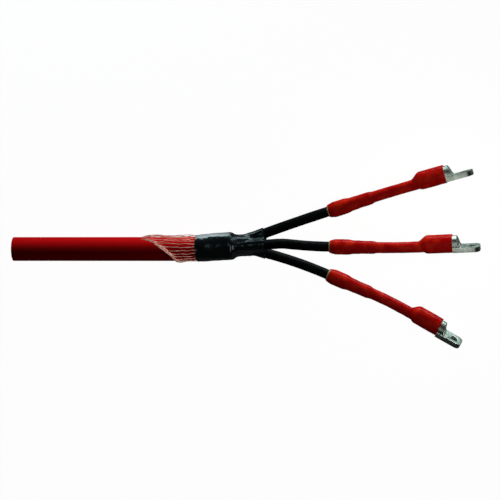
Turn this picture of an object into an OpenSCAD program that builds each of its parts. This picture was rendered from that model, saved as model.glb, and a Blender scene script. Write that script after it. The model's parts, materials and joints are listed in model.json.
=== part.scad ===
// Three-core heat-shrink termination on a screened power cable, lying flat as it comes to rest.
// X runs from the cut cable end to the lugs, Z is up, and the fan of legs lies in the XY plane.

/* [Cable] */
// Diameter of each stranded conductor
conductor_d = 13; // [11:0.5:15]
// Thickness of the core insulation
insulation_wall = 3.9; // [3.2:0.1:4.6]
// Thickness of the conductive core screen
screen_wall = 0.55; // [0.4:0.05:0.9]
// Diameter of one copper screen wire
wire_d = 1.05; // [0.8:0.05:1.2]
// Web of bedding between two cores
bedding_web = 0.3; // [0.2:0.1:1]
// Bedding left outside the cores
bedding_wall = 0.7; // [0.5:0.1:2]
// Thickness of the outer sheath
sheath_wall = 2.8; // [2:0.1:4]
// Straight length of cable behind the bend
tail_len = 421; // [300:1:700]
// Length of the slight bend behind the boot
bend_len = 50; // [30:1:80]
// Angle of that bend
bend_angle = 4; // [1:0.5:8]

/* [Screen wires] */
// Number of wires folded back
wire_count = 24; // [16:1:26]
// Angle of the tuft above the cable side
tuft_angle = 20; // [0:1:40]
// Length of the longest wire past the boot
tuft_len = 140; // [110:1:170]

/* [Boot] */
// Length of sheath covered by the skirt
boot_overlap = 85; // [60:1:120]
// Wall of the skirt and body
boot_wall = 2.5; // [2:0.1:3.5]
// Wall of the fingers
finger_wall = 1.9; // [1.4:0.1:2.8]
// Length of the fingers along the cores
finger_len = 83; // [78:1:96]
// Slack of the body beside the lower core
neck_slack = 3.5; // [0:0.5:5]
// Length of the thin lip at the mouth
lip_len = 8; // [5:0.5:12]
// Thickness of the mastic under the skirt
mastic_wall = 1.2; // [0.8:0.1:2]
// Radius of the skirt's shoulder
shoulder_r = 12; // [9:0.5:14]

/* [Legs] */
// Radius at which the cores leave the cable axis
leg_bend_r = 150; // [120:5:180]
// Straight start of the upper core
upper_split = 18; // [10:1:24]
// Upper core angle at the boot
upper_exit = 15.8; // [13:0.2:18]
// Upper angle under the stress tube
upper_mid = 13.6; // [12:0.2:15]
// Upper lug angle
upper_lug = 11.4; // [10:0.2:14]
// Upper core run up to its sleeve
upper_run = 256; // [230:1:300]
// Roll of the upper lug
upper_roll = 0; // [-5:1:10]
// Straight start of the middle core
middle_split = 114; // [106:1:122]
// Middle core angle at the boot
middle_exit = -9.5; // [-12:0.5:-7]
// Middle angle under the stress tube
middle_mid = -5; // [-7:0.5:-4]
// Middle lug angle
middle_lug = -1.6; // [-4:0.1:-1]
// Middle core run up to its sleeve
middle_run = 248; // [230:1:300]
// Roll of the middle lug
middle_roll = 5; // [0:1:10]
// Straight start of the lower core
lower_split = 17; // [8:1:22]
// Lower core angle at the boot
lower_exit = -20; // [-22:0.5:-16]
// Lower angle under the stress tube
lower_mid = -28; // [-30:0.5:-24]
// Lower lug angle
lower_lug = -34.5; // [-37:0.5:-31]
// Lower core run up to its sleeve
lower_run = 247; // [220:1:290]
// Roll of the lower lug
lower_roll = 14; // [0:1:25]

/* [Tubes] */
// Wall of the black core tubes
core_tube_wall = 1.7; // [1.2:0.1:2.4]
// Core path covered before the black tube starts
core_tube_start = 40; // [38:1:46]
// Length of black tube under the red sleeve
core_tube_lap = 46; // [36:1:52]
// Wall of the stress control tube
stress_wall = 2.3; // [1.6:0.1:3]
// Start of the stress tube inside the sleeve
stress_inset = 6; // [4:0.5:10]
// End of the stress tube inside the sleeve
stress_end = 115; // [95:1:130]
// Core screen left under the stress tube
screen_lap = 70; // [60:1:80]
// Mastic wrap over the end of the black tube
wrap_wall = 0.5; // [0.3:0.1:1]
// Wall of the red sleeve
sleeve_wall = 3.4; // [2.5:0.1:4.5]
// Where the sleeve starts to widen over the lug
widen_at = 216; // [200:1:236]
// Length of that widening
widen_len = 26; // [18:1:32]
// Length of the sleeve
sleeve_len = 305; // [290:1:330]

/* [Lug] */
// Diameter of the lug barrel
barrel_d = 39; // [37:0.5:42]
// Bore of the barrel
bore_d = 24.5; // [22:0.5:26]
// Depth of that bore
bore_depth = 62; // [56:1:64]
// Barrel left bare past the sleeve
bare_len = 10; // [7:0.5:14]
// Slope of the shoulder face
face_slope = 15; // [8:1:22]
// Length of the palm past the face
palm_len = 50; // [46:1:64]
// Width of the palm
palm_w = 38; // [34:1:42]
// Thickness of the palm
palm_t = 12.5; // [9:0.5:14]
// Corner radius of the palm tip
palm_corner = 13; // [6:0.5:16]
// Diameter of the bolt hole
hole_d = 17; // [13:0.5:18]
// Distance of the bolt hole from the tip
hole_edge = 21; // [18:0.5:24]
// Fillet between face and palm
root_fillet = 4; // [2:0.5:6]
// Diameter of the shear bolts
bolt_d = 15.6; // [12:0.2:16.4]
// First shear bolt from the barrel mouth
bolt_first = 18; // [14:0.5:22]
// Distance between the shear bolts
bolt_pitch = 25; // [20:0.5:28]
// Conductor pushed into the bore
conductor_in = 58; // [50:0.5:59]
// Bare conductor in front of the barrel
conductor_bare = 5; // [3:0.5:8]

/* [Hidden] */
$fn = 96;
// room between layers that lie on each other
gap = 0.1;
// straight stretches reach this far into the bends, which are this much slimmer
lap = 2;
ledge = 0.15;
// straight part of a leg inside its finger
lead = 25;
pi = 3.14159265;
insulation_r = conductor_d / 2 + insulation_wall;
screen_r = insulation_r + screen_wall;
core_bore_r = screen_r + wire_d + 2 * gap;
trefoil_r = (2 * core_bore_r + bedding_web) / sqrt(3);
bedding_r = trefoil_r + core_bore_r + bedding_wall;
sheath_in_r = bedding_r + gap;
sheath_r = sheath_in_r + sheath_wall;
tube_r = screen_r + gap + core_tube_wall;
finger_r = tube_r + gap + finger_wall;
neck_r = screen_r + gap + boot_wall;
wire_bed_r = sheath_r + gap + wire_d / 2;
mastic_in_r = sheath_r + wire_d + 2 * gap;
skirt_in_r = mastic_in_r + mastic_wall + gap;
skirt_r = skirt_in_r + boot_wall;
lip_in_r = mastic_in_r;
lip_r = (lip_in_r + skirt_r) / 2;
fold_room = 4;
leg_start = boot_overlap + fold_room + 3;
shoulder_end = leg_start + 6;
crotch = finger_len - 11;
body_at = core_tube_start + 4;
web_h = 1.1 * finger_r;
neck_fill = trefoil_r + screen_r - 1.5;
core_y = trefoil_r * cos(30);
core_low = -trefoil_r / 2;
lug_r = barrel_d / 2;
lug_shift = (bore_d - conductor_d) / 2 - gap;
sleeve_lug_r = lug_r + gap + sleeve_wall;
sleeve_thin_r = insulation_r + gap + sleeve_wall;
mouth_at = widen_at + widen_len;
barrel_len = sleeve_len - mouth_at + bare_len;
face_drop = (barrel_d - palm_t) * tan(face_slope);
lug_len = barrel_len + face_drop + palm_len;
bolt_top = sqrt(pow(lug_r - gap, 2) - pow(bolt_d / 2, 2));
floor_z = -skirt_r;

// one leg: start, exit, middle and lug angle, run, roll, side of the cable, height in the cable
UPPER = [upper_split, upper_exit, upper_mid, upper_lug, upper_run, upper_roll, 1];
MIDDLE = [middle_split, middle_exit, middle_mid, middle_lug, middle_run, middle_roll, 0];
LOWER = [lower_split, lower_exit, lower_mid, lower_lug, lower_run, lower_roll, -1];

function rad(a) = a * pi / 180;
// stretches of a leg, each a length and the angle it turns through
function stretches(g) = let (turn = leg_bend_r * rad(abs(g[1]))) [
    [g[0], 0],
    [turn, g[1]],
    [lead, 0],
    [g[4] - g[0] - turn - lead, g[2] - g[1]],
    [stress_end + 3, 0],
    [widen_at - stress_end - 3, g[3] - g[2]],
    [widen_len + sleeve_len + lug_len, 0]
];
cable_run = [[tail_len, 0], [bend_len, bend_angle], [leg_start, 0]];
// pose after going along part of one stretch: x, y and heading
function step(p, len, ang) = ang == 0
    ? [p[0] + len * cos(p[2]), p[1] + len * sin(p[2]), p[2]]
    : let (r = len / rad(ang)) [
        p[0] + r * (sin(p[2] + ang) - sin(p[2])),
        p[1] - r * (cos(p[2] + ang) - cos(p[2])),
        p[2] + ang
    ];
function pose(run, s, p = [0, 0, 0], i = 0) =
    i == len(run) - 1 || s <= run[i][0]
    ? step(p, s, run[i][1] * s / run[i][0])
    : pose(run, s - run[i][0], step(p, run[i][0], run[i][1]), i + 1);
function before(run, i) = i == 0 ? 0 : before(run, i - 1) + run[i - 1][0];
cable_end = pose(cable_run, tail_len + bend_len, [0, 0, -bend_angle]);
cable_pose = [-cable_end[0], -cable_end[1], -bend_angle];
cable_len = tail_len + bend_len;

function core_at(g) = g[6] == 0 ? [0, trefoil_r] : [g[6] * core_y, core_low];
// lowest point of a sleeve and of a palm under the core axis
function sleeve_low(g) = sleeve_lug_r - lug_shift * sin(g[5]);
function palm_low(g) = (lug_r - lug_shift) * sin(g[5]) + palm_w / 2 * cos(g[5]);
// outer legs lean down until a sleeve or a palm lies on the floor
function lean(g, low, s) = asin((core_low - floor_z - low) / abs(pose(stretches(g), s)[1]));
function droop(g) = -g[6] * (g[6] == 0 ? 0 : min(lean(g, sleeve_low(g), g[4] + sleeve_len),
    lean(g, palm_low(g), g[4] + mouth_at + lug_len)));
upper_tip = pose(stretches(UPPER), upper_run + mouth_at + lug_len);
middle_tip = pose(stretches(MIDDLE), middle_run + mouth_at + lug_len);
lower_tip = pose(stretches(LOWER), lower_run + mouth_at + lug_len);
upper_edge = pose(stretches(UPPER), upper_run + sleeve_len);
x_front = leg_start + max(upper_tip[0], middle_tip[0], lower_tip[0]);
x_back = cable_pose[0];
y_left = core_y + upper_edge[1] + (lug_shift + sleeve_lug_r) * cos(upper_lug);
y_right = -core_y + lower_tip[1] - (lug_r - lug_shift) * cos(lower_lug) * cos(lower_roll);
shift = [-(x_front + x_back) / 2, -(y_left + y_right) / 2, -floor_z];

// round bar along part of a run of straights and arcs
module bar(run, from, to, r, start = [0, 0, 0], off = [0, 0]) {
    for (i = [0 : len(run) - 1]) {
        s0 = before(run, i);
        a = max(from, s0);
        b = min(to, s0 + run[i][0]);
        if (b - a > 0.001) {
            p = pose(run, a, start);
            ang = run[i][1] * (b - a) / run[i][0];
            bend = ang == 0 ? 0 : (b - a) / rad(abs(ang));
            lo = a > from + 0.001 ? lap : 0;
            hi = b < to - 0.001 ? lap : 0;
            translate([p[0], p[1], 0]) rotate([0, 0, p[2]])
                if (ang == 0) {
                    translate([-lo, off[0], off[1]]) rotate([0, 90, 0]) cylinder(r = r, h = b - a + lo + hi);
                } else if (ang > 0) {
                    translate([0, bend, 0]) rotate([0, 0, -90])
                        rotate_extrude(angle = ang, $fn = 720) translate([bend - off[0], off[1]]) circle(r - ledge, $fn = 96);
                } else {
                    translate([0, -bend, 0]) rotate([0, 0, 90 + ang])
                        rotate_extrude(angle = -ang, $fn = 720) translate([bend + off[0], off[1]]) circle(r - ledge, $fn = 96);
                }
        }
    }
}

module ring(r_out, r_in) {
    difference() {
        circle(r_out);
        circle(r_in);
    }
}

// round tube along the closed cable
module cable_bar(r, to) {
    bar(cable_run, 0, cable_len + to, r, cable_pose);
}

// short plug through the cut cable end
module cut_end(r, off = [0, 0]) {
    translate([cable_pose[0], cable_pose[1], 0]) rotate([0, 0, -bend_angle])
        translate([0, off[0], off[1]]) rotate([0, 90, 0]) cylinder(r = r, h = 2, center = true);
}

// puts what follows into a leg's own plane, at the end of the closed cable
module leg(g) {
    c = core_at(g);
    translate([leg_start, c[0], c[1]]) rotate([droop(g), 0, 0]) children();
}

module at(g, s) {
    p = pose(stretches(g), s);
    leg(g) translate([p[0], p[1], 0]) rotate([0, 0, p[2]]) children();
}

// one core from the cut cable end to a place on its leg, as a plain bar
module core_bar(g, r, to) {
    run = [[tail_len, 0], [bend_len, bend_angle], [leg_start + g[0] + lap, 0]];
    bar(run, 0, cable_len + leg_start + g[0] + lap, r, cable_pose, core_at(g));
    leg(g) bar(stretches(g), g[0], to, r);
}

// a layer of one core
module core_layer(g, r_out, r_in, to) {
    difference() {
        core_bar(g, r_out, to);
        core_bar(g, r_in, to + 1);
        cut_end(r_in, core_at(g));
    }
}
// profile with soft steps between places along a tube
function soft(q) = q * q * (3 - 2 * q);
function eased(list) = [for (i = [0 : len(list) - 2])
    let (n = abs(list[i + 1][1] - list[i][1]) < 0.01 ? 1 : 5)
        for (k = [0 : n - 1])
            [list[i][0] + (list[i + 1][0] - list[i][0]) * k / n,
             list[i][1] + (list[i + 1][1] - list[i][1]) * soft(k / n)],
    list[len(list) - 1]];
function back(list) = [for (i = [len(list) - 1 : -1 : 0]) list[i]];

// turned tube between an inner and an outer line, both as place and radius
module turned(inner, outer) {
    points = concat(inner, back(outer));
    rotate([0, 90, 0]) rotate_extrude() polygon([for (p = points) [p[1], p[0]]]);
}

module outer_sheath() {
    color("firebrick") difference() {
        cable_bar(sheath_r, boot_overlap);
        cable_bar(sheath_in_r, boot_overlap + 1);
        cut_end(sheath_in_r);
    }
}

module cable_bedding() {
    color("dimgray") difference() {
        cable_bar(bedding_r, boot_overlap);
        for (g = [UPPER, MIDDLE, LOWER]) {
            bar(cable_run, 0, cable_len + boot_overlap + 1, core_bore_r, cable_pose, core_at(g));
            cut_end(core_bore_r, core_at(g));
        }
    }
}

module conductor(g) {
    color("peru") union() core_bar(g, conductor_d / 2, g[4] + mouth_at + conductor_in);
}

module insulation(g) {
    color("ivory") core_layer(g, insulation_r, conductor_d / 2 + gap / 2, g[4] + mouth_at - conductor_bare);
}

module core_screen(g) {
    color("black") core_layer(g, screen_r, insulation_r + gap / 2, g[4] + screen_lap);
}

module core_tube(g) {
    color("black") leg(g) difference() {
        bar(stretches(g), core_tube_start, g[4] + core_tube_lap, tube_r);
        bar(stretches(g), core_tube_start - 1, g[4] + core_tube_lap + 1, screen_r + gap);
    }
}

wrap_r = tube_r + gap + wrap_wall;
bead_r = wrap_r + 2.2;
module end_mastic(g) {
    color("khaki") at(g, g[4]) turned(
        [[-3, tube_r + gap], [core_tube_lap - 1, tube_r + gap]],
        [[-3, tube_r + gap + 0.6], [-1.6, bead_r - 0.4], [-0.2, bead_r], [-0.2, wrap_r],
         [core_tube_lap - 1, wrap_r]]);
}

// line of the stress tube's bore, which the sleeve follows one wall further out
stress_line = [[stress_inset, wrap_r + gap], [core_tube_lap + 1, wrap_r + gap],
    [core_tube_lap + 8, screen_r + gap], [screen_lap + 1, screen_r + gap],
    [screen_lap + 4, insulation_r + gap], [stress_end, insulation_r + gap]];
function out(list, t) = [for (p = list) [p[0], p[1] + t]];
module stress_tube(g) {
    color("black") at(g, g[4]) turned(eased(stress_line), eased(out(stress_line, stress_wall)));
}

sleeve_line = concat(
    [[-1, wrap_r + gap], [stress_inset - 1, wrap_r + gap]],
    [for (p = stress_line) [p[0], p[1] + stress_wall + gap]],
    [[stress_end + 0.2, insulation_r + gap + stress_wall], [stress_end + 3, insulation_r + gap],
     [stress_end + 3 + lap, insulation_r + gap]]);
sleeve_out = gap + sleeve_wall;
sleeve_skin = [[0, wrap_r + sleeve_out - 0.8], [1.5, wrap_r + sleeve_out],
    [stress_inset + 8, wrap_r + stress_wall + gap + sleeve_out],
    [core_tube_lap - 3, wrap_r + stress_wall + gap + sleeve_out],
    [core_tube_lap + 14, screen_r + stress_wall + gap + sleeve_out], [screen_lap, screen_r + stress_wall + gap + sleeve_out],
    [screen_lap + 8, insulation_r + stress_wall + gap + sleeve_out],
    [stress_end - 9, insulation_r + stress_wall + gap + sleeve_out],
    [stress_end + 3, sleeve_thin_r], [stress_end + 3 + lap, sleeve_thin_r]];

// turned solid under a line of places and radii
module turned_bar(line) {
    points = concat([[line[0][0], 0]], line, [[line[len(line) - 1][0], 0]]);
    rotate([0, 90, 0]) rotate_extrude() polygon([for (p = points) [p[1], p[0]]]);
}

// turned solid on the lug's axis that grows out of the core to the barrel
module widening(g, r_core, r_barrel, to) {
    r0 = r_core - lug_shift - 1;
    at(g, g[4] + widen_at) rotate([g[5], 0, 0]) translate([0, lug_shift, 0])
        turned_bar(eased([[0, r0], [widen_len, r_barrel], [to - widen_at, r_barrel]]));
}

module sleeve(g) {
    from = g[4] + stress_end + 3;
    color("crimson") difference() {
        union() {
            at(g, g[4]) turned_bar(eased(sleeve_skin));
            leg(g) bar(stretches(g), from, g[4] + mouth_at, sleeve_thin_r);
            widening(g, sleeve_thin_r, sleeve_lug_r, sleeve_len);
        }
        at(g, g[4]) turned_bar(eased(sleeve_line));
        leg(g) bar(stretches(g), from, g[4] + mouth_at, insulation_r + gap);
        widening(g, insulation_r + gap, lug_r + gap, sleeve_len + 1);
    }
}

module lug_mastic(g) {
    color("darkkhaki") difference() {
        widening(g, insulation_r, lug_r, mouth_at);
        at(g, g[4] + widen_at) rotate([0, 90, 0])
            translate([0, 0, -1]) cylinder(r = insulation_r + gap, h = widen_len - conductor_bare + 1 + gap);
        at(g, g[4] + widen_at) rotate([0, 90, 0])
            translate([0, 0, -1]) cylinder(r = conductor_d / 2 + gap, h = widen_len + 2);
    }
}

// outline of the palm, seen from above it
module palm_outline() {
    x0 = barrel_len - bare_len + 2 * gap;
    x1 = lug_len;
    c = palm_corner;
    translate([x0, -palm_w / 2]) square([x1 - x0 - c, palm_w]);
    translate([x0, -palm_w / 2 + c]) square([x1 - x0, palm_w - 2 * c]);
    for (y = [-1, 1]) translate([x1 - c, y * (palm_w / 2 - c)]) circle(c);
}

// lug with X along the barrel from its mouth and Y away from the palm
module lug(g) {
    root = barrel_len + face_drop;
    color("silver") at(g, g[4] + mouth_at) rotate([g[5], 0, 0]) translate([0, lug_shift, 0]) difference() {
        union() {
            intersection() {
                rotate([0, 90, 0]) cylinder(r = lug_r, h = root + palm_t);
                linear_extrude(barrel_d + 2, center = true) polygon([
                    [0, lug_r + 1], [barrel_len - tan(face_slope), lug_r + 1],
                    [root + palm_t * tan(face_slope), -lug_r], [root, -lug_r - 1], [0, -lug_r - 1]]);
            }
            translate([0, -lug_r + palm_t, 0]) rotate([90, 0, 0]) linear_extrude(palm_t) palm_outline();
            intersection() {
                rotate([0, 90, 0]) cylinder(r = lug_r, h = root + 3 * root_fillet);
                translate([root - root_fillet, -lug_r + palm_t - 1, 0]) linear_extrude(barrel_d, center = true)
                    difference() {
                        square([2 * root_fillet, root_fillet + 1]);
                        translate([2 * root_fillet, root_fillet + 1]) circle(root_fillet);
                    }
            }
        }
        translate([-1, 0, 0]) rotate([0, 90, 0]) cylinder(d = bore_d, h = bore_depth + 1);
        translate([-1, 0, 0]) rotate([0, 90, 0]) cylinder(d1 = bore_d + 4, d2 = bore_d, h = 2);
        for (i = [0, 1]) translate([bolt_first + i * bolt_pitch, 0, 0]) rotate([-90, 0, 0])
            cylinder(d = bolt_d + 2 * gap, h = lug_r + 1);
        translate([lug_len - hole_edge, 0, 0]) rotate([90, 0, 0]) cylinder(d = hole_d, h = barrel_d);
    }
}

// bolts sheared off just under the round of the barrel, their ends on the conductor
module shear_bolts(g) {
    foot = -lug_shift + conductor_d / 2 + gap;
    color("gray") at(g, g[4] + mouth_at) rotate([g[5], 0, 0]) translate([0, lug_shift, 0])
        for (i = [0, 1]) translate([bolt_first + i * bolt_pitch, foot, 0]) rotate([-90, 0, 0]) union() {
            cylinder(d1 = bolt_d - 3, d2 = bolt_d, h = 1.5);
            translate([0, 0, 1.5]) cylinder(d = bolt_d, h = bolt_top - foot - 1.5);
            translate([0, 0, bolt_top - foot]) cylinder(d1 = bolt_d * 0.5, d2 = bolt_d * 0.35, h = 0.8);
        }
}

module sheath_mastic() {
    color("dimgray") rotate([90, 0, 90]) translate([0, 0, lip_len + 4])
        linear_extrude(boot_overlap - lip_len - 8) ring(mastic_in_r + mastic_wall, mastic_in_r);
}

// place on a core's axis, seen from above
function over(g, s) = let (p = pose(stretches(g), s)) [leg_start + p[0], core_at(g)[0] + p[1]];

// web between the fingers, its edge drawn back into two soft notches
module web() {
    u = over(UPPER, crotch);
    l = over(LOWER, crotch);
    x = leg_start + crotch;
    points = concat(
        [for (s = [0 : crotch / 6 : crotch]) over(UPPER, s)],
        [[x - 3, u[1] * 0.6], [x - 7, u[1] * 0.4], [x - 3, u[1] * 0.2], [x, 0],
         [x - 5, l[1] * 0.2], [x - 10, l[1] * 0.4], [x - 5, l[1] * 0.6]],
        [for (s = [crotch : -crotch / 6 : -0.1]) over(LOWER, s)]);
    translate([0, 0, core_low - web_h / 2]) linear_extrude(web_h) polygon(points);
}

module breakout_boot() {
    arc = [for (a = [90 : -15 : 0])
        [shoulder_end - shoulder_r + shoulder_r * cos(a), skirt_r - shoulder_r + shoulder_r * sin(a)]];
    skirt = concat([[0, lip_r], [lip_len, lip_r], [lip_len + 1.5, lip_r + 0.8]], arc,
        [[shoulder_end + 2, neck_fill], [leg_start + body_at, neck_fill - 1], [leg_start + crotch - 14, 12]]);
    room = [[-1, lip_in_r], [lip_len, lip_in_r], [lip_len + 3, skirt_in_r], [boot_overlap + 1, skirt_in_r],
        [leg_start, skirt_in_r - fold_room]];
    legs = [UPPER, MIDDLE, LOWER];
    color("black") difference() {
        union() {
            turned_bar(skirt);
            web();
            for (g = legs) leg(g) {
                bar(stretches(g), 1, body_at, neck_r + (g[6] < 0 ? neck_slack : 0));
                bar(stretches(g), body_at - 5, finger_len, finger_r);
            }
        }
        turned_bar(room);
        for (g = legs) leg(g) {
            translate([-2, 0, 0]) rotate([0, 90, 0]) cylinder(r = screen_r + gap, h = 2 + lap);
            bar(stretches(g), 0, core_tube_start + 1, screen_r + gap);
            bar(stretches(g), core_tube_start - 1, finger_len + 2, tube_r + gap);
        }
    }
}

// place of a wire on the cable: station behind the boot mouth, angle, radius
function on_cable(s, ang, r) = let (p = pose(cable_run, cable_len + s, cable_pose))
    [p[0] - sin(p[2]) * r * cos(ang), p[1] + cos(p[2]) * r * cos(ang), r * sin(ang)];
// wires lying on each other where they come together
layers = 3;
front = ceil(wire_count * 0.6);
// lower edge of the tuft, as an angle from its tip line, at a distance behind the boot
function edge_angle(t) = 178 / (1 + pow(t / 55, 3));
function lesser(a, b, k) = -k * ln(exp(-a / k) + exp(-b / k));
function wire_side(i) = i < front ? 1 : -1;
function wire_rank(i) = i < front ? i : wire_count - 1 - i;
function wire_reach(i) = tuft_len - 4 * wire_rank(i);
function spread(i, t) = let (
        n = wire_rank(i),
        a = 360 / wire_count * (n + 0.5),
        slot = (floor(n / layers) + 0.5) * (2.8 + 4 / (1 + pow(t / 75, 4))))
    lesser(a, edge_angle(t) + slot, 4);
function lift(i, t) = 0.2 + (wire_rank(i) % layers + (wire_side(i) < 0 ? 0.5 : 0)) * (wire_d + 2 * gap) * min(1, t / 5);
// route of one wire: back from the tuft's tip, under the skirt and over the cut sheath edge
function wire_route(i) = let (start = tuft_angle + wire_side(i) * spread(i, 0))
    concat(
        [for (k = [0 : wire_steps]) let (d = wire_reach(i) * (1 - k / wire_steps * 0.999))
            on_cable(-d, tuft_angle + wire_side(i) * spread(i, d), wire_bed_r + lift(i, d))],
        [on_cable(boot_overlap - 1, start, wire_bed_r),
         on_cable(boot_overlap + 1.6, start, wire_bed_r - 0.6),
         on_cable(boot_overlap + 2.6, start, wire_bed_r - 2.4)]);
wire_steps = 22;
sides = 6;
function unit(v) = v / norm(v);
function tangent(path, i) = unit(path[min(i + 1, len(path) - 1)] - path[max(i - 1, 0)]);
function across(d) = unit(cross(d, abs(d[2]) < 0.8 ? [0, 0, 1] : [0, 1, 0]));
function rope(path, r) = [for (i = [0 : len(path) - 1])
    let (d = tangent(path, i), a = across(d), b = cross(d, a))
        for (k = [0 : sides - 1]) path[i] + r * (cos(360 * k / sides) * a + sin(360 * k / sides) * b)];

module wire(path, r) {
    m = len(path);
    faces = concat(
        [for (j = [0 : m - 2]) for (k = [0 : sides - 1])
            let (n = (k + 1) % sides, a = j * sides + k, b = j * sides + n)
                for (f = [[a, b, b + sides], [a, b + sides, a + sides]]) f],
        [[for (k = [sides - 1 : -1 : 0]) k], [for (k = [0 : sides - 1]) (m - 1) * sides + k]]);
    polyhedron(rope(path, r), faces);
}

module screen_wires() {
    color("peru") for (i = [0 : wire_count - 1]) wire(wire_route(i), wire_d / 2);
}

translate(shift) {
    outer_sheath();
    cable_bedding();
    screen_wires();
    sheath_mastic();
    breakout_boot();
    conductor(UPPER);  // conductor_upper
    conductor(MIDDLE);  // conductor_middle
    conductor(LOWER);  // conductor_lower
    insulation(UPPER);  // insulation_upper
    insulation(MIDDLE);  // insulation_middle
    insulation(LOWER);  // insulation_lower
    core_screen(UPPER);  // core_screen_upper
    core_screen(MIDDLE);  // core_screen_middle
    core_screen(LOWER);  // core_screen_lower
    core_tube(UPPER);  // core_tube_upper
    core_tube(MIDDLE);  // core_tube_middle
    core_tube(LOWER);  // core_tube_lower
    end_mastic(UPPER);  // end_mastic_upper
    end_mastic(MIDDLE);  // end_mastic_middle
    end_mastic(LOWER);  // end_mastic_lower
    stress_tube(UPPER);  // stress_tube_upper
    stress_tube(MIDDLE);  // stress_tube_middle
    stress_tube(LOWER);  // stress_tube_lower
    sleeve(UPPER);  // sleeve_upper
    sleeve(MIDDLE);  // sleeve_middle
    sleeve(LOWER);  // sleeve_lower
    lug_mastic(UPPER);  // lug_mastic_upper
    lug_mastic(MIDDLE);  // lug_mastic_middle
    lug_mastic(LOWER);  // lug_mastic_lower
    lug(UPPER);  // lug_upper
    lug(MIDDLE);  // lug_middle
    lug(LOWER);  // lug_lower
    shear_bolts(UPPER);  // shear_bolts_upper
    shear_bolts(MIDDLE);  // shear_bolts_middle
    shear_bolts(LOWER);  // shear_bolts_lower
}
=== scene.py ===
import bpy
import json
import math
from mathutils import Matrix, Vector

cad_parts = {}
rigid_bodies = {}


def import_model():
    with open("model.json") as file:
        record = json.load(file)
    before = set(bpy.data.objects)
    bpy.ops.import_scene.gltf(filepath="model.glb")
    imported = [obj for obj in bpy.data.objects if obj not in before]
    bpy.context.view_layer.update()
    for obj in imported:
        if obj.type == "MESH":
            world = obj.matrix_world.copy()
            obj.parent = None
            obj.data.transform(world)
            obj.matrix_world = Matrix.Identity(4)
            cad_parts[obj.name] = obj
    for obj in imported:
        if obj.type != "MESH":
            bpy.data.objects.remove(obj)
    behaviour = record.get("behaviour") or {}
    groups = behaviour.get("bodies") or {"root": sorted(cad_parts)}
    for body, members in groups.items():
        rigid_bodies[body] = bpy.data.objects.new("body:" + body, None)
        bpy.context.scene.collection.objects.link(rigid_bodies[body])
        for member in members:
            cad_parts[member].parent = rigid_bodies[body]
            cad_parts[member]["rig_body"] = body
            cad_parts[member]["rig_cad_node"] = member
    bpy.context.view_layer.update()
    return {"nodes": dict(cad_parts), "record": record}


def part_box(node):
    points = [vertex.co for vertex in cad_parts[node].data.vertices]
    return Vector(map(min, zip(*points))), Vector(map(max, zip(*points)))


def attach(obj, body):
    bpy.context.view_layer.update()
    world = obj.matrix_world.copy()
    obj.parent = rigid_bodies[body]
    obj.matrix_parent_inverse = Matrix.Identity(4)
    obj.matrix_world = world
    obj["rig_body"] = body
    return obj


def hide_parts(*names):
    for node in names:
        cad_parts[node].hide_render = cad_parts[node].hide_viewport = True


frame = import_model()
nodes = frame["nodes"]
legs = ("upper", "middle", "lower")
print("frame loaded", len(nodes), "nodes")


def clearSelection():
    if bpy.context.object and bpy.context.object.mode != "OBJECT":
        bpy.ops.object.mode_set(mode="OBJECT")
    bpy.ops.object.select_all(action="DESELECT")


def pick(obj):
    clearSelection()
    obj.select_set(True)
    bpy.context.view_layer.objects.active = obj


def editAll(obj):
    pick(obj)
    bpy.ops.object.mode_set(mode="EDIT")
    bpy.ops.mesh.select_all(action="SELECT")


def leaveEdit():
    bpy.ops.object.mode_set(mode="OBJECT")


# Camera looks down on the part as it lies, with a long lens
cameraSettings = {
    "toCamera": (0.1836, 0.1877, 0.9651),
    "imageUp": (0.0683, 0.9769, -0.2030),
    "mouthPixel": (197.0, 248.3),
    "metresPerPixel": 0.0025,
    "distance": 8.0,
    "imageSize": 500,
    "sensor": 36,
    "farthest": 50,
}


def bootMouth():
    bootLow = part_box("breakout_boot")[0]
    ringLow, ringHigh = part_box("sheath_mastic")   # this ring lies round the cable axis
    return Vector((bootLow[0], (ringLow[1] + ringHigh[1]) / 2, (ringLow[2] + ringHigh[2]) / 2))


def addCamera(s):
    back = Vector(s["toCamera"]).normalized()
    up = Vector(s["imageUp"])
    up = (up - back * up.dot(back)).normalized()
    right = up.cross(back)
    half = s["imageSize"] / 2
    across = (half - s["mouthPixel"][0]) * s["metresPerPixel"]
    upward = (s["mouthPixel"][1] - half) * s["metresPerPixel"]
    aim = bootMouth() + right * across + up * upward
    data = bpy.data.cameras.new("photoCamera")
    camera = bpy.data.objects.new("photoCamera", data)
    bpy.context.scene.collection.objects.link(camera)
    place = Matrix((right, up, back)).transposed().to_4x4()
    place.translation = aim + back * s["distance"]
    camera.matrix_world = place
    data.sensor_width = s["sensor"]
    data.lens = s["sensor"] * s["distance"] / (s["imageSize"] * s["metresPerPixel"])
    data.clip_end = s["farthest"]
    bpy.context.scene.camera = camera


addCamera(cameraSettings)
print("camera placed")


# Finishes: colour mottled by a slow noise, roughness and bump from a fine one
noiseSettings = {"mottleDetail": 4, "grainDetail": 5, "grainLow": 0.3, "grainHigh": 0.7}
# What a finish has where it names nothing else
plainFinish = {
    "stretch": (1, 1, 1), "turn": 0, "mottleFrom": 0.35, "mottleTo": 0.65,
    "metallic": 0, "ior": 1.5, "specular": 0.5, "tint": (1, 1, 1),
}


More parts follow.
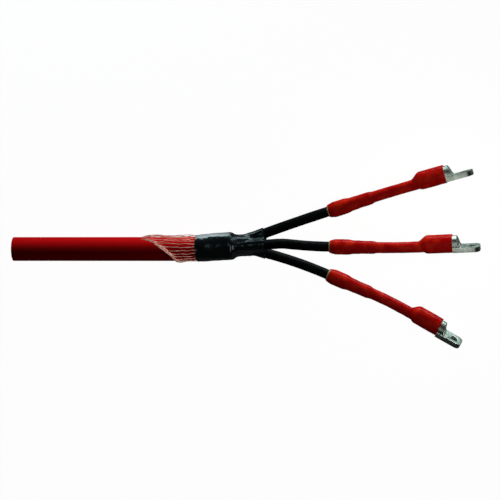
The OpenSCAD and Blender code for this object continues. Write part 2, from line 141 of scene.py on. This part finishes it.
def makeFinish(name, ownValues):
    s = {**plainFinish, **ownValues}
    mat = bpy.data.materials.new(name)
    mat.use_nodes = True
    tree = mat.node_tree
    tree.nodes.clear()
    out = tree.nodes.new("ShaderNodeOutputMaterial")
    shader = tree.nodes.new("ShaderNodeBsdfPrincipled")
    tree.links.new(shader.outputs["BSDF"], out.inputs["Surface"])
    coords = tree.nodes.new("ShaderNodeTexCoord")
    mapping = tree.nodes.new("ShaderNodeMapping")
    mapping.inputs["Scale"].default_value = s["stretch"]
    mapping.inputs["Rotation"].default_value = (0, 0, math.radians(s["turn"]))
    tree.links.new(coords.outputs["Object"], mapping.inputs["Vector"])

    slow = tree.nodes.new("ShaderNodeTexNoise")
    slow.inputs["Scale"].default_value = s["mottleScale"]
    slow.inputs["Detail"].default_value = noiseSettings["mottleDetail"]
    tree.links.new(mapping.outputs["Vector"], slow.inputs["Vector"])
    ramp = tree.nodes.new("ShaderNodeValToRGB")
    ramp.color_ramp.elements[0].position = s["mottleFrom"]
    ramp.color_ramp.elements[1].position = s["mottleTo"]
    ramp.color_ramp.elements[0].color = (*s["dark"], 1)
    ramp.color_ramp.elements[1].color = (*s["light"], 1)
    tree.links.new(slow.outputs["Fac"], ramp.inputs["Fac"])
    tree.links.new(ramp.outputs["Color"], shader.inputs["Base Color"])

    fine = tree.nodes.new("ShaderNodeTexNoise")
    fine.inputs["Scale"].default_value = s["grainScale"]
    fine.inputs["Detail"].default_value = noiseSettings["grainDetail"]
    tree.links.new(mapping.outputs["Vector"], fine.inputs["Vector"])
    rough = tree.nodes.new("ShaderNodeMapRange")
    rough.inputs["From Min"].default_value = noiseSettings["grainLow"]
    rough.inputs["From Max"].default_value = noiseSettings["grainHigh"]
    rough.inputs["To Min"].default_value = s["roughness"][0]
    rough.inputs["To Max"].default_value = s["roughness"][1]
    tree.links.new(fine.outputs["Fac"], rough.inputs["Value"])
    tree.links.new(rough.outputs["Result"], shader.inputs["Roughness"])
    bump = tree.nodes.new("ShaderNodeBump")
    bump.inputs["Strength"].default_value = s["bump"]
    bump.inputs["Distance"].default_value = s["bumpDepth"]
    tree.links.new(fine.outputs["Fac"], bump.inputs["Height"])
    tree.links.new(bump.outputs["Normal"], shader.inputs["Normal"])
    shader.inputs["Metallic"].default_value = s["metallic"]
    shader.inputs["IOR"].default_value = s["ior"]
    shader.inputs["Specular IOR Level"].default_value = s["specular"]
    shader.inputs["Specular Tint"].default_value = (*s["tint"], 1)
    return mat


finishes = {
    "sheath_red": makeFinish("sheathRed", {
        "dark": (0.50, 0.003, 0.004), "light": (0.58, 0.004, 0.005), "mottleScale": 9, "grainScale": 160,
        "stretch": (0.15, 1, 1), "turn": 4,
        "roughness": (0.34, 0.48), "bump": 0.10, "bumpDepth": 0.0004, "specular": 0.012}),
    "sleeve_red": makeFinish("sleeveRed", {
        "dark": (0.42, 0.002, 0.002), "light": (0.66, 0.018, 0.005), "mottleScale": 45, "grainScale": 70,
        "mottleFrom": 0.42, "mottleTo": 0.74,
        "roughness": (0.14, 0.36), "bump": 0.35, "bumpDepth": 0.0012, "specular": 0.035}),
    "boot_black": makeFinish("bootBlack", {
        "dark": (0.002, 0.002, 0.003), "light": (0.006, 0.006, 0.007), "mottleScale": 40, "grainScale": 48,
        "roughness": (0.09, 0.22), "bump": 0.22, "bumpDepth": 0.0015, "specular": 0.9, "ior": 1.85,
        "tint": (0.72, 0.98, 1.0)}),
    "tube_black": makeFinish("coreTubeBlack", {
        "dark": (0.002, 0.002, 0.002), "light": (0.007, 0.007, 0.007), "mottleScale": 60, "grainScale": 260,
        "roughness": (0.34, 0.50), "bump": 0.5, "bumpDepth": 0.0006, "specular": 0.05}),
    "screen_black": makeFinish("coreScreenBlack", {
        "dark": (0.015, 0.015, 0.015), "light": (0.03, 0.03, 0.03), "mottleScale": 50, "grainScale": 300,
        "roughness": (0.5, 0.7), "bump": 0.2, "bumpDepth": 0.0003}),
    "copper": makeFinish("drawnCopper", {
        "dark": (0.64, 0.25, 0.18), "light": (1.0, 0.62, 0.49), "mottleScale": 120, "grainScale": 400,
        "roughness": (0.24, 0.36), "bump": 0.15, "bumpDepth": 0.0002, "metallic": 0.10}),
    "tinned": makeFinish("tinPlate", {
        "dark": (0.66, 0.77, 0.63), "light": (0.90, 1.0, 0.88), "mottleScale": 60, "grainScale": 320,
        "roughness": (0.24, 0.42), "bump": 0.25, "bumpDepth": 0.0003, "metallic": 1}),
    "bolt_metal": makeFinish("shearedBolt", {
        "dark": (0.42, 0.40, 0.34), "light": (0.66, 0.64, 0.58), "mottleScale": 90, "grainScale": 500,
        "roughness": (0.35, 0.55), "bump": 0.3, "bumpDepth": 0.0003, "metallic": 1}),
    "mastic": makeFinish("sealingMastic", {
        "dark": (0.20, 0.15, 0.06), "light": (0.40, 0.32, 0.15), "mottleScale": 120, "grainScale": 260,
        "roughness": (0.45, 0.7), "bump": 0.5, "bumpDepth": 0.0006}),
    "insulation_white": makeFinish("coreInsulation", {
        "dark": (0.66, 0.65, 0.58), "light": (0.78, 0.77, 0.71), "mottleScale": 40, "grainScale": 220,
        "roughness": (0.35, 0.5), "bump": 0.1, "bumpDepth": 0.0003}),
    "bedding_grey": makeFinish("fillerGrey", {
        "dark": (0.05, 0.05, 0.05), "light": (0.12, 0.12, 0.12), "mottleScale": 140, "grainScale": 420,
        "roughness": (0.6, 0.85), "bump": 0.5, "bumpDepth": 0.0006}),
}


def dress(obj, slotName):
    obj.data.materials.clear()
    obj.data.materials.append(finishes[slotName])


slotOf = {part["node"]: part["material_slot"] for part in frame["record"]["subparts"]}
for nodeName, nodeObject in nodes.items():
    dress(nodeObject, slotOf[nodeName])
print("finishes assigned")


# Shrunk pieces: a copy of the solid, remeshed evenly, softened and slightly uneven as heat leaves it
weldDistance = 0.00001
softenFactor = 0.5
waveDepth = 2
noiseMiddle = 0.5


def copyOf(nodeName, pieceName):
    pick(nodes[nodeName])
    bpy.ops.object.duplicate()
    piece = bpy.context.object
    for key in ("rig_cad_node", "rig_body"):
        if key in piece:
            del piece[key]
    piece.parent = None
    piece.name = pieceName
    piece.data.name = pieceName
    editAll(piece)
    bpy.ops.mesh.remove_doubles(threshold=weldDistance)
    leaveEdit()
    return piece


def applied(piece, kind, **values):
    pick(piece)
    mod = piece.modifiers.new(kind, kind)
    for key, value in values.items():
        setattr(mod, key, value)
    bpy.ops.object.modifier_apply(modifier=mod.name)


def unevenness(name, size, depth):
    texture = bpy.data.textures.new(name, "CLOUDS")
    texture.noise_scale = size
    texture.noise_depth = depth
    return texture


def shrunkPiece(nodeName, pieceName, s):
    piece = copyOf(nodeName, pieceName)
    applied(piece, "REMESH", mode="VOXEL", voxel_size=s["voxel"])
    if s["fillet"] > 0:
        # Grown and drawn back, so that the hollows between the fingers fill
        applied(piece, "DISPLACE", mid_level=0, strength=s["fillet"])
        applied(piece, "REMESH", mode="VOXEL", voxel_size=s["voxel"])
        applied(piece, "DISPLACE", mid_level=0, strength=-s["fillet"])
    applied(piece, "SMOOTH", factor=softenFactor, iterations=s["soften"])
    for label, size, strength in s["uneven"]:
        texture = unevenness(pieceName + label, size, waveDepth)
        applied(piece, "DISPLACE", texture=texture, texture_coords="LOCAL",
                mid_level=noiseMiddle, strength=strength)
    pick(piece)
    bpy.ops.object.shade_smooth()
    dress(piece, slotOf[nodeName])
    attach(piece, "root")
    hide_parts(nodeName)


# Each unevenness has a name, the size of its waves and their height
bootShape = {"voxel": 0.0011, "fillet": 0.011, "soften": 10,
             "uneven": (("Wave", 0.030, 0.0026), ("Pucker", 0.011, 0.0004))}
sleeveShape = {"voxel": 0.0012, "fillet": 0, "soften": 6,
               "uneven": (("Wave", 0.030, 0.0012), ("Pucker", 0.008, 0.0003))}
tubeShape = {"voxel": 0.0011, "fillet": 0, "soften": 4,
             "uneven": (("Wave", 0.040, 0.0006), ("Pucker", 0.006, 0.0003))}
shrunkPiece("breakout_boot", "shrunkBoot", bootShape)
for leg in legs:
    shrunkPiece("sleeve_" + leg, "shrunkSleeve_" + leg, sleeveShape)
    shrunkPiece("core_tube_" + leg, "shrunkCoreTube_" + leg, tubeShape)
print("shrunk pieces made")


# Screen wires: the same strands, a little fuller and straying as wires do that are folded by hand
wireShape = {"fuller": 0.00035, "strayDepth": 1, "clear": 0.0002,
             "stray": (("Drift", 0.030, 0.007), ("Kink", 0.012, 0.003))}


def fullWires(s):
    piece = copyOf("screen_wires", "foldedWires")
    applied(piece, "DISPLACE", mid_level=0, strength=s["fuller"])
    for label, size, strength in s["stray"]:
        texture = unevenness("wire" + label, size, s["strayDepth"])
        texture.cloud_type = "COLOR"
        applied(piece, "DISPLACE", texture=texture, texture_coords="LOCAL", direction="RGB_TO_XYZ",
                mid_level=noiseMiddle, strength=strength)
    applied(piece, "SHRINKWRAP", target=nodes["outer_sheath"], wrap_mode="OUTSIDE", offset=s["clear"])
    pick(piece)
    bpy.ops.object.shade_smooth()
    dress(piece, "copper")
    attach(piece, "root")
    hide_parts("screen_wires")


fullWires(wireShape)
print("wires finished")


# Lugs: edges broken as on a cast and plated body
lugShape = {"edge": 0.0008, "segments": 3, "flatAngle": 0.5, "sharpAngle": 35, "smoothAngle": 40}


def softLug(leg, s):
    nodeName = "lug_" + leg
    piece = copyOf(nodeName, "brokenEdgeLug_" + leg)
    editAll(piece)
    bpy.ops.mesh.dissolve_limited(angle_limit=math.radians(s["flatAngle"]))
    leaveEdit()
    applied(piece, "BEVEL", width=s["edge"], segments=s["segments"], limit_method="ANGLE",
            angle_limit=math.radians(s["sharpAngle"]))
    pick(piece)
    bpy.ops.object.shade_smooth_by_angle(angle=math.radians(s["smoothAngle"]))
    dress(piece, "tinned")
    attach(piece, "root")
    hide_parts(nodeName)


for leg in legs:
    softLug(leg, lugShape)
print("lugs finished")


# Stage: pale floor that keeps the shadow, a long low key light and weak fills
# The gloss of the boot mirrors a patch of floor beyond it, placed from the boot's mouth, which glows only
# for glossy rays: a painted reflection that puts the highlight on the boot
stageSettings = {
    "floorSize": 12,
    "floorDrop": 0.0006,
    "floorTone": 0.09,
    "floorGlow": 0.975,
    "floorGloss": 0.02,
    "reflectionGlowAt": (0.02, 0.14, 0.0),
    "reflectionGlowHalf": (0.11, 0.13, 1.0),
    "reflectionGlowStrength": 3.3,
    "sky": 0.01,
}
white = (1.0, 1.0, 1.0)
# The key stands lower than the floor, which can't hold it back because that lamp casts no shadow
lampSettings = {
    "key": {"at": (0.72, 1.6, -0.52), "aim": (-0.05, 0.0, 0.03), "size": (2.0, 0.45), "energy": 42,
            "colour": (0.80, 0.96, 1.0), "shadow": False},
    "strip": {"at": (-0.42, 1.55, 0.14), "aim": (-0.05, 0.05, 0.03), "size": (0.50, 0.24), "energy": 9,
              "colour": (0.62, 0.94, 1.0), "shadow": False, "gloss": False},
    "legs": {"at": (0.42, -0.02, 0.55), "aim": (0.42, -0.02, 0.0), "size": (0.3, 0.6), "energy": 0.30,
             "colour": white},
    "ends": {"at": (0.53, 0.14, 0.36), "aim": (0.50, 0.10, 0.03), "size": (0.12, 0.20), "energy": 0.22,
             "colour": white, "gloss": False},
    "front": {"at": (0.2, -1.6, 0.3), "aim": (0.05, 0.0, 0.03), "size": (1.5, 0.5), "energy": 1.1,
              "colour": white, "gloss": False},
    "over": {"at": (0.1, 0.8, 1.9), "aim": (0.05, 0.0, 0.0), "size": (0.9, 0.9), "energy": 0.35,
             "colour": white},
}


def addFloor(s):
    clearSelection()
    bpy.ops.mesh.primitive_plane_add(size=s["floorSize"], location=(0, 0, -s["floorDrop"]))
    floor = bpy.context.object
    floor.name = "studioFloor"
    mat = bpy.data.materials.new("paleFloor")
    mat.use_nodes = True
    tree = mat.node_tree
    tree.nodes.clear()
    out = tree.nodes.new("ShaderNodeOutputMaterial")
    diffuse = tree.nodes.new("ShaderNodeBsdfDiffuse")
    diffuse.inputs["Color"].default_value = (s["floorTone"], s["floorTone"], s["floorTone"], 1)
    glow = tree.nodes.new("ShaderNodeEmission")
    path = tree.nodes.new("ShaderNodeLightPath")
    reflected = tree.nodes.new("ShaderNodeMath")
    reflected.operation = "MAXIMUM"
    dimmed = tree.nodes.new("ShaderNodeMath")
    dimmed.operation = "MULTIPLY"
    # Painted reflection: a round patch of floor beyond the boot glows brighter, for glossy rays only, so
    # the boot shows a highlight
    coords = tree.nodes.new("ShaderNodeTexCoord")
    place = tree.nodes.new("ShaderNodeMapping")
    place.vector_type = "TEXTURE"
    place.inputs["Location"].default_value = bootMouth() * Vector((1, 1, 0)) + Vector(s["reflectionGlowAt"])
    place.inputs["Scale"].default_value = s["reflectionGlowHalf"]
    reflectionGlowPatch = tree.nodes.new("ShaderNodeTexGradient")
    reflectionGlowPatch.gradient_type = "SPHERICAL"
    shine = tree.nodes.new("ShaderNodeMapRange")
    shine.inputs["To Min"].default_value = s["floorGloss"]
    shine.inputs["To Max"].default_value = s["reflectionGlowStrength"]
    tree.links.new(coords.outputs["Object"], place.inputs["Vector"])
    tree.links.new(place.outputs["Vector"], reflectionGlowPatch.inputs["Vector"])
    tree.links.new(reflectionGlowPatch.outputs["Fac"], shine.inputs["Value"])
    tree.links.new(shine.outputs["Result"], dimmed.inputs[1])
    direct = tree.nodes.new("ShaderNodeMath")
    direct.operation = "MULTIPLY_ADD"
    direct.inputs[1].default_value = s["floorGlow"]
    add = tree.nodes.new("ShaderNodeAddShader")
    tree.links.new(path.outputs["Is Glossy Ray"], reflected.inputs[0])
    tree.links.new(path.outputs["Is Transmission Ray"], reflected.inputs[1])
    tree.links.new(reflected.outputs[0], dimmed.inputs[0])
    tree.links.new(path.outputs["Is Camera Ray"], direct.inputs[0])
    tree.links.new(dimmed.outputs[0], direct.inputs[2])
    tree.links.new(direct.outputs[0], glow.inputs["Strength"])
    tree.links.new(diffuse.outputs[0], add.inputs[0])
    tree.links.new(glow.outputs[0], add.inputs[1])
    tree.links.new(add.outputs[0], out.inputs["Surface"])
    floor.data.materials.append(mat)


def addSky(s):
    world = bpy.data.worlds.new("studioSky")
    bpy.context.scene.world = world
    world.use_nodes = True
    shade = world.node_tree.nodes["Background"]
    shade.inputs["Color"].default_value = (*white, 1)
    shade.inputs["Strength"].default_value = s["sky"]


def addLamp(name, s):
    data = bpy.data.lights.new(name, "AREA")
    data.shape = "RECTANGLE"
    data.size = s["size"][0]
    data.size_y = s["size"][1]
    data.energy = s["energy"]
    data.color = s["colour"]
    data.use_shadow = s.get("shadow", True)
    lamp = bpy.data.objects.new(name, data)
    bpy.context.scene.collection.objects.link(lamp)
    lamp.location = s["at"]
    lamp.visible_camera = False
    lamp.visible_glossy = s.get("gloss", True)
    direction = Vector(s["aim"]) - Vector(s["at"])
    lamp.rotation_euler = direction.to_track_quat("-Z", "Y").to_euler()


addFloor(stageSettings)
addSky(stageSettings)
for lampName, lampValues in lampSettings.items():
    addLamp(lampName + "Lamp", lampValues)
bpy.context.scene.view_settings.view_transform = "Standard"
print("stage lit")
